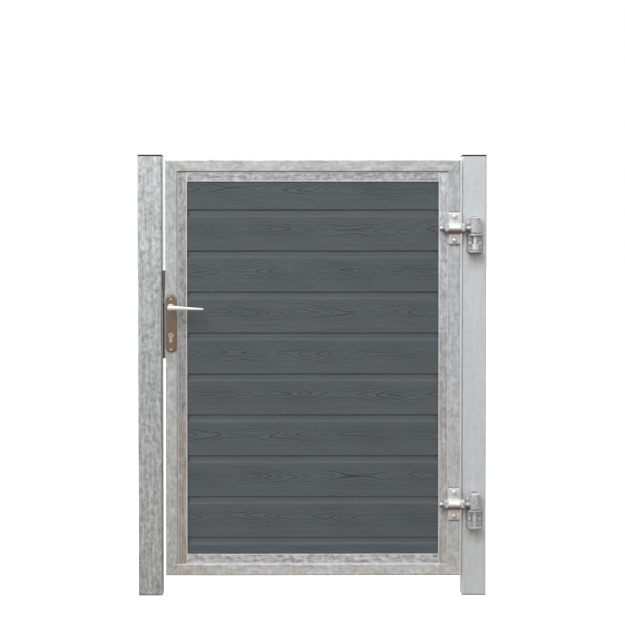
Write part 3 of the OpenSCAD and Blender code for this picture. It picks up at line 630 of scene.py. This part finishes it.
def plank(number):
    """The outline carried along X; y shrinks towards the middle by the grain's depth, and
    the grain fades out at the upper and lower edges of the face."""
    name = f"plank_{number}"
    low, high = (np.array(corner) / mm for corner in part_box(name))
    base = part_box("plank_2")[0].z / mm + (number - 2) * pitch
    cut_low = max(0.0, low[2] - base) if number == 1 else 0.0
    cut_high = high[2] - base if number == 10 else 0.0
    front = half_outline(front_rows, cut_low, cut_high)
    back = half_outline(back_rows, cut_low, cut_high)
    y = np.concatenate([-front[:, 0], back[::-1, 0]])
    z = np.concatenate([front[:, 1], back[::-1, 1]])
    pressed = np.concatenate([front[:, 2], back[::-1, 2]])
    x = np.linspace(low[0], high[0], stations)[:, None]
    grain = np.where(y < 0, oak(x, z[None, :], number, 0), oak(x, z[None, :], number, 1))
    edge = np.clip(np.minimum(z - smooth_rim, flat_top - smooth_rim - z) / fade, 0, 1)
    grain = grain * np.clip(pressed, 0, 1) * edge
    shape = np.broadcast_arrays(x, y * (1 - press * grain / half_t), z)
    grid = np.stack(shape, -1) + [0, (low[1] + high[1]) / 2, base]
    made = piece(f"{name}_board", [closed(grid * mm)], "leaf", plank_finish, [name],
                 40)
    for key, values in (("grain", grain), ("pressed", np.broadcast_to(pressed, grain.shape))):
        layer = made.data.attributes.new(key, "FLOAT", "POINT")
        layer.data.foreach_set("value", values.astype(np.float32).ravel())
    return made


boards = [plank(number) for number in range(1, 11)]
print("planks:", len(boards), "with", 2 * len(boards[1].data.polygons), "triangles each")

# %% [markdown]
# ## Softened edges
# Caps, brackets, the keep, the plates and the cylinder have the right shape, but no real
# edge is perfectly sharp: light catches a small round on it. A copy of the node is merged,
# its flat faces are joined up, and a Bevel modifier rounds the edges that turn sharply.

# %% Softened copies
def softened(name, nodes, body, finish, width, turn=40):
    """Copies nodes into one mesh with whole faces and rounds its edges by width (mm)."""
    work = bmesh.new()
    for node in nodes:
        work.from_mesh(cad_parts[node].data)
    bmesh.ops.remove_doubles(work, verts=work.verts, dist=0.00001)
    bmesh.ops.dissolve_limit(work, angle_limit=math.radians(0.5), verts=work.verts,
                             edges=work.edges)
    mesh = bpy.data.meshes.new(name)
    work.to_mesh(mesh)
    work.free()
    mesh.shade_smooth()
    mesh.set_sharp_from_angle(angle=math.radians(turn))
    made = bpy.data.objects.new(name, mesh)
    bpy.context.scene.collection.objects.link(made)
    dress(made, finish)
    bevel = made.modifiers.new("round", "BEVEL")
    bevel.width = width * mm
    bevel.segments = 2
    bevel.limit_method = "ANGLE"
    bevel.angle_limit = math.radians(turn)
    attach(made, body)
    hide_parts(*nodes)
    return made


softened("latch_cap", ["latch_post_cap"], "posts", cap_finish, 0.7)
softened("hinge_cap", ["hinge_post_cap"], "posts", cap_finish, 0.7)
for where in ("upper", "lower"):
    softened(f"{where}_bracket", [f"{where}_hinge_bracket"], "posts", dull_zinc, 1.2)
softened("keep", ["keep_plate"], "posts", keep_finish, 0.4)
softened("faceplate", ["lock_faceplate"], "leaf", keep_finish, 0.3)
for where in ("front", "rear"):
    softened(f"{where}_plate", [f"{where}_backplate"], "leaf", plate_finish, 0.35,
             20)
    softened(f"{where}_key_plug", [f"{where}_plug"], "key_plug", cylinder_finish, 0.25)
softened("cylinder", ["profile_cylinder"], "leaf", cylinder_finish, 0.4)

# %% [markdown]
# ## Turned and swept metal
# Pins, bolts, nuts and barrels come off a lathe: an outline of radius and length turned
# about an axis. A hexagon is the same turned shape cut off by six flats, which is also
# how a real nut gets the curved chamfer on its corners. Straps and the lever are an
# outline carried along a path.

# %% Turning
def spokes(axis, turn):
    """Unit directions square to axis, one for each angle in turn."""
    side = np.cross(axis, [0, 0, 1] if abs(axis[2]) < 0.5 else [1, 0, 0])
    side = side / np.linalg.norm(side)
    return np.cos(turn)[..., None] * side + np.sin(turn)[..., None] * np.cross(axis, side)


def turned(outline, origin, axis, steps=48, across=None, ring=False):
    """Outline rows of (radius, length) in mm turned about axis through origin. With
    across, the radius stops at a hexagon of that width. ring joins the outline's ends."""
    outline, axis = np.array(outline, float), np.array(axis, float)
    turn = np.arange(steps) * 2 * np.pi / steps
    radius = np.repeat(outline[:, :1], steps, 1)
    if across:
        wedge = (turn + np.pi / 6) % (np.pi / 3) - np.pi / 6
        radius = np.minimum(radius, across / 2 / np.cos(wedge))
    grid = radius[..., None] * spokes(axis, turn) + outline[:, 1][:, None, None] * axis
    return closed((grid + np.array(origin)) * mm, ring)


def nut(origin, axis, across, thick, bore):
    """A hexagon nut: bore and faces as a ring, its corners cut by a 30 degree cone."""
    corner, rim = across / 2 / math.cos(math.pi / 6), across / 2 * 0.96
    fall = (corner - rim) * math.tan(math.pi / 6)
    outline = [(bore, 0.6), (bore + 0.6, 0), (rim, 0), (corner, fall), (corner, thick - fall),
               (rim, thick), (bore + 0.6, thick), (bore, thick - 0.6)]
    return turned(outline, origin, axis, 72, across, True)


def threaded(radius, start, end, origin, axis, thread=2.0, steps=36):
    """A screw thread: radius falls by a saw edge of height 0.3 x pitch that climbs one
    pitch each turn, and fades out at both ends."""
    rows = int((end - start) / thread * 6) + 1
    along = np.linspace(start, end, rows)[:, None]
    turn = np.arange(steps)[None, :] / steps
    saw = np.abs(2 * ((along / thread - turn) % 1) - 1)
    fade = np.clip(np.minimum(along - start, end - along) / thread, 0, 1)
    size = radius - 0.3 * thread * (saw * fade + (1 - fade))
    axis = np.array(axis, float)
    grid = size[..., None] * spokes(axis, 2 * np.pi * turn) + along[..., None] * axis
    return closed((grid + np.array(origin)) * mm)


print("a nut has", len(nut((0, 0, 0), (0, 0, 1), 30, 14, 10.05)[1]), "faces")

# %% Sweeping
def rounded(width, height, corner, power=None):
    """An outline (n, 2): a rectangle with round corners, or with power a superellipse."""
    count = 6
    if power:
        t = np.arange(32) * 2 * np.pi / 32
        bend = lambda v: np.sign(v) * np.abs(v) ** (2 / power)
        return np.stack([width / 2 * bend(np.cos(t)), height / 2 * bend(np.sin(t))], -1)
    quarter = np.linspace(0, np.pi / 2, count)
    turns = (quarter[None, :] + np.arange(4)[:, None] * np.pi / 2).ravel()
    sx = np.repeat([1, -1, -1, 1], count) * (width / 2 - corner)
    sy = np.repeat([1, 1, -1, -1], count) * (height / 2 - corner)
    return np.stack([sx + corner * np.cos(turns), sy + corner * np.sin(turns)], -1)


def carried(path, outlines, across, loop=False):
    """Outlines (rows, n, 2) along a path (rows, 3): the first number of an outline point
    goes sideways, across x the path's direction, the second goes along across."""
    path, across = np.array(path, float), np.array(across, float)
    ahead = np.gradient(path, axis=0)
    if loop:
        ahead = np.roll(path, -1, 0) - np.roll(path, 1, 0)
    side = np.cross(across, ahead)
    side /= np.linalg.norm(side, axis=1, keepdims=True)
    grid = path[:, None] + outlines[..., :1] * side[:, None] + outlines[..., 1:] * across
    return closed(grid * mm, loop)


print("a strap outline has", len(rounded(5, 40, 0.8)), "points")

# %% [markdown]
# ## Hinges
# Each hinge is a pin in a U bracket, a threaded eyebolt with a barrel on the pin, two
# large nuts that clamp it to the stile, and an omega strap over its shank. All of them
# are dipped or plated, and the barrel is welded to its shank with a gusset above.

# %% Straps
def strap(where):
    """The omega: feet, fillets and hoop as one path in Y and Z, a flat bar carried on it,
    its last millimetre drawn in at both ends."""
    low, high = (np.array(corner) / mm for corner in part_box(f"{where}_saddle"))
    x, z = (low[0] + high[0]) / 2, (low[2] + high[2]) / 2
    thick, hoop, fillet = 5.0, 12.9, 5.5
    foot, pin_y = high[1] - thick / 2, low[1] + hoop + thick / 2
    turn = np.linspace(0, np.pi / 2, 9)
    fy, fz = foot - fillet, hoop + fillet
    half = [(foot, zz) for zz in (53.0, 52.7, 52.2, 46, 38, 30, 22)]
    half += [(fy + fillet * math.cos(t), fz - fillet * math.sin(t)) for t in turn]
    half += [(pin_y - hoop * math.sin(t), hoop * math.cos(t))
             for t in np.linspace(0, np.pi / 2, 13)]
    up = np.array(half)
    full = np.concatenate([up, (up * [1, -1])[-2::-1]])
    route = np.stack([np.full(len(full), x), full[:, 0], z + full[:, 1]], -1)
    draw = np.ones(len(full))
    draw[[0, 1, -2, -1]] = [0.6, 0.9, 0.9, 0.6]
    bar = rounded(thick, high[0] - low[0], 1.0)
    thinned = draw[:, None] * bar[:, 0]
    narrowed = bar[:, 1] - np.sign(bar[:, 1]) * (1 - draw[:, None])
    return carried(route, np.stack([thinned, narrowed], -1), (1, 0, 0))


for where in ("upper", "lower"):
    piece(f"{where}_strap", [strap(where)], "leaf", hinge_zinc, [f"{where}_saddle"],
          40)
print("straps: 2")

# %% Eyebolts and pins
pin_low, pin_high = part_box("lower_hinge_pin")
pin_radius = (pin_high.x - pin_low.x) / 2 / mm


def eyebolt(where):
    """Barrel, threaded shank, gusset and the weld bead between barrel and shank."""
    low, high = (np.array(corner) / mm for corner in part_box(f"{where}_eyebolt"))
    outer, shank_r, fillet, shank_in, nut_room, rib_in = 18, 10.0, 10.6, 14, 18, 16
    pin_x, pin_y = high[0] - outer, high[1] - outer
    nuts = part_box(f"{where}_eyebolt_nuts")
    shank_z = (nuts[0].z + nuts[1].z) / 2 / mm
    bore = pin_radius + 0.06
    tall = high[2] - low[2]
    outline = [(bore, 1), (bore + 1, 0), (outer - 1.4, 0), (outer, 1.4), (outer, tall - 2.6),
               (outer - 2.4, tall), (bore + 1.2, tall), (bore, tall - 1)]
    barrel = turned(outline, (pin_x, pin_y, low[2]), (0, 0, 1), 72, None, True)
    shank = threaded(shank_r, low[0], pin_x - shank_in, (0, pin_y, shank_z), (1, 0, 0), 2.5)
    turn = np.arange(96) * 2 * np.pi / 96
    bead = np.stack([pin_x - np.sqrt((outer + 0.2) ** 2 - (fillet * np.cos(turn)) ** 2),
                     pin_y + fillet * np.cos(turn), shank_z + fillet * np.sin(turn)], -1)
    around = (np.arange(12) * 2 * np.pi / 12)[None, :, None]
    size = 1.8 + 0.25 * np.sin(16 * turn)
    radial = np.stack([np.zeros(96), np.cos(turn), np.sin(turn)], -1)[:, None]
    section = np.cos(around) * radial + np.sin(around) * np.array([1.0, 0, 0])
    weld = closed((bead[:, None] + size[:, None, None] * section) * mm, True)
    reach = pin_x - (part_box("hinge_stile")[1].x / mm + nut_room)
    top = high[2] - 4 - shank_z
    rib = np.array([(-reach, 0), (-reach, top * 0.55), (-reach + 9, top), (-rib_in, top),
                    (-rib_in, 0)])
    middle = rib.mean(0)
    inset = lambda d: middle + (rib - middle) * (1 - d / 14)
    layers = [(-3, 1.2), (-2.2, 0), (2.2, 0), (3, 1.2)]
    grid = np.stack([np.stack([inset(d)[:, 0] + pin_x, np.full(5, pin_y + y),
                               inset(d)[:, 1] + shank_z], -1) for y, d in layers])
    return [barrel, shank, weld, closed(grid * mm)]


def pin(where):
    """A turned pin with chamfered ends; the upper one widens to a collar that stands on
    the bracket's lower flange."""
    low, high = (np.array(corner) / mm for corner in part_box(f"{where}_hinge_pin"))
    tall, wide = high[2] - low[2], (high[0] - low[0]) / 2
    r, foot, head = pin_radius, 9.05, 31
    collar = [(r, foot), (wide - 0.8, foot), (wide, foot + 0.75), (wide, head - 1),
              (wide - 1, head), (r, head)]
    outline = [(r - 1.4, 0), (r - 0.2, 1), (r, 1.6)] + (collar if wide > r + 1 else [])
    outline += [(r, tall - 2.4), (r - 0.4, tall - 1.4), (r - 2, tall)]
    middle = ((low[0] + high[0]) / 2, (low[1] + high[1]) / 2, low[2])
    return turned(outline, middle, (0, 0, 1), 64)


for where in ("upper", "lower"):
    piece(f"{where}_eye", eyebolt(where), "leaf", dull_zinc, [f"{where}_eyebolt"])
    piece(f"{where}_pin", [pin(where)], "posts", hinge_zinc, [f"{where}_hinge_pin"])
print("eyebolts and pins: 4")

# %% Nuts and bolts
def shank_nuts(where):
    """Two large nuts, one on each side of the stile."""
    across, thick, bore = 30, 14, 10.05
    low, high = (np.array(corner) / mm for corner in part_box(f"{where}_eyebolt_nuts"))
    y, z = (low[1] + high[1]) / 2, (low[2] + high[2]) / 2
    return [nut((x, y, z), (1, 0, 0), across, thick, bore) for x in (low[0], high[0] - thick)]


def m8_end(x, z, back, end):
    """What shows of an M8 bolt behind a part: its thread up to end, and its nut on back."""
    return [threaded(4.0, back - 2, end, (x, 0, z), (0, 1, 0), 1.25, 24),
            nut((x, back, z), (0, 1, 0), 13, 6.5, 4.05)]


def strap_bolts(where):
    """Dome heads on the strap, thread ends and nuts behind the stile."""
    head_r, head_h = 9, 5
    low, high = (np.array(corner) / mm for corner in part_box(f"{where}_saddle_bolts"))
    x = (low[0] + high[0]) / 2
    leaf_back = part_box("hinge_stile")[1].y / mm
    arc = np.linspace(0.04, 1.0, 9)
    dome = [(head_r * t, head_h * (1 - math.sqrt(max(1 - t * t, 0)))) for t in arc]
    dome.append((head_r, head_h))
    parts = []
    for z in (low[2] + head_r, high[2] - head_r):
        parts += [turned(dome, (x, low[1], z), (0, 1, 0)), *m8_end(x, z, leaf_back, high[1])]
    return parts


def bracket_bolts(where):
    """Hexagon heads with a washer face on the bracket, nuts and thread ends behind the post."""
    low, high = (np.array(corner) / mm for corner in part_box(f"{where}_bracket_bolts"))
    z = (low[2] + high[2]) / 2
    post_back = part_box("hinge_post")[1].y / mm
    centre = (low[0] + high[0]) / 2
    head = [(0.3, 0), (6.1, 0), (7.5, 0.75), (7.5, 4.7), (6.2, 4.7), (6.2, 5.3), (0.3, 5.3)]
    apart = 32
    parts = []
    for x in (centre - apart / 2, centre + apart / 2):
        parts += [turned(head, (x, low[1], z), (0, 1, 0), 72, 13),
                  *m8_end(x, z, post_back, high[1])]
    return parts


for where in ("upper", "lower"):
    piece(f"{where}_shank_nuts", shank_nuts(where), "leaf", dull_zinc,
          [f"{where}_eyebolt_nuts"], 25)
    piece(f"{where}_strap_bolts", strap_bolts(where), "leaf", bolt_finish,
          [f"{where}_saddle_bolts"], 30)
    piece(f"{where}_bolts", bracket_bolts(where), "posts", bolt_finish,
          [f"{where}_bracket_bolts"], 25)
print("sets of nuts and bolts: 6")

# %% [markdown]
# ## The levers
# The handle is one bent bar. It leaves the plate as a round neck, turns a quarter circle
# and runs on as a flatter arm that thins and drops a little to a rounded tip. One path
# with a changing outline gives all of that with no seam.

# %% Levers
def lever(node, outward):
    """Neck, quarter bend and arm as one path; width and height fall along it, and the
    last outlines shrink as a half circle to round the tip. outward is -1 or 1 in Y."""
    low, high = (np.array(corner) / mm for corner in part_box(node))
    neck_r, arm, curve, tip_r, drop = 11, 36.5, 10, 5, 4
    x, z = low[0] + neck_r, high[2] - neck_r
    root = high[1] if outward < 0 else low[1]
    turn = np.linspace(0, np.pi / 2, 13)
    cap = np.linspace(0, np.pi / 2 - 0.1, 9)
    neck = np.stack([np.zeros(9), np.linspace(0, arm - curve, 9)], -1)
    bend = np.stack([curve - curve * np.cos(turn), arm - curve + curve * np.sin(turn)], -1)[1:]
    reach = high[0] - x
    run = np.stack([np.linspace(curve, reach - tip_r, 30), np.full(30, arm)], -1)[1:]
    tip = np.stack([reach - tip_r + 4.98 * np.sin(cap), np.full(9, arm)], -1)[1:]
    line = np.concatenate([neck, bend, run, tip])
    share = np.clip((line[:, 0] - 4) / (reach - 4), 0, 1)
    step = np.clip(np.arange(len(line)) / 16, 0, 1)
    size = lambda arm_size, tip_size: np.where(
        step < 1, 2 * neck_r - (2 * neck_r - arm_size) * step**1.5,
        arm_size - (arm_size - tip_size) * share)
    close = np.ones(len(line))
    close[-8:] = np.cos(cap)[1:]
    unit = rounded(2, 2, 0, power=2.5)
    sizes = np.stack([size(13.5, 8), size(16.5, 7)], -1)
    outlines = unit[None] * sizes[:, None] / 2 * close[:, None, None]
    fall = drop * np.clip((line[:, 0] - 6) / (reach - 6), 0, 1)
    route = np.stack([x + line[:, 0], root + outward * line[:, 1], z - fall], -1)
    collar = turned([(10.8, 4.7), (12.2, 4.9), (12.6, 5.5), (12.2, 6.3), (10.8, 6.6)],
                    (x, root, z), (0, outward, 0), 64)
    return [carried(route, outlines, (0, 0, 1)), collar]


for where, outward in (("front", -1), ("rear", 1)):
    piece(f"{where}_handle", lever(f"{where}_lever", outward), "handles", lever_finish,
          [f"{where}_lever"], 40)
print("levers: 2")

# %% [markdown]
# ## Weld seams
# The four mitres of the frame are welded and the beads stay visible as low ripples under
# the zinc. Each is a flattened round bar on the diagonal, ground low and sunk to half its
# thickness.

# %% Weld beads
def mitre_beads():
    """A bead on the diagonal of each corner, front and back: an ellipse whose size
    ripples along a straight path."""
    low, high = (np.array(corner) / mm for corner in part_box("latch_stile"))
    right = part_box("hinge_stile")[1].x / mm
    half_w, half_h, start, length = 2.8, 0.4, 2.5, 35
    parts = []
    t = np.linspace(0, 1, 90)
    oval = rounded(2, 2, 0, power=2.0)
    for x0, dx in ((low[0], 1), (right, -1)):
        for z0, dz in ((low[2], 1), (high[2], -1)):
            for y in (low[1], high[1]):
                far = start + length * t
                line = np.stack([x0 + dx * far, np.full(90, y), z0 + dz * far], -1)
                fade = np.clip(np.minimum(t, 1 - t) * 12 + 0.2, 0, 1)
                swell = (1 + 0.18 * np.sin(t * 70)) * fade
                ahead = np.array([dx, 0, dz]) / math.sqrt(2)
                aside = np.cross(ahead, [0, 1, 0])
                section = half_w * oval[:, :1] * aside + half_h * oval[:, 1:] * [0, 1.0, 0]
                parts.append(closed((line[:, None] + swell[:, None, None] * section) * mm))
    return parts


piece("mitre_welds", mitre_beads(), "leaf", rail_zinc, (), 60)
print("weld beads: 8")
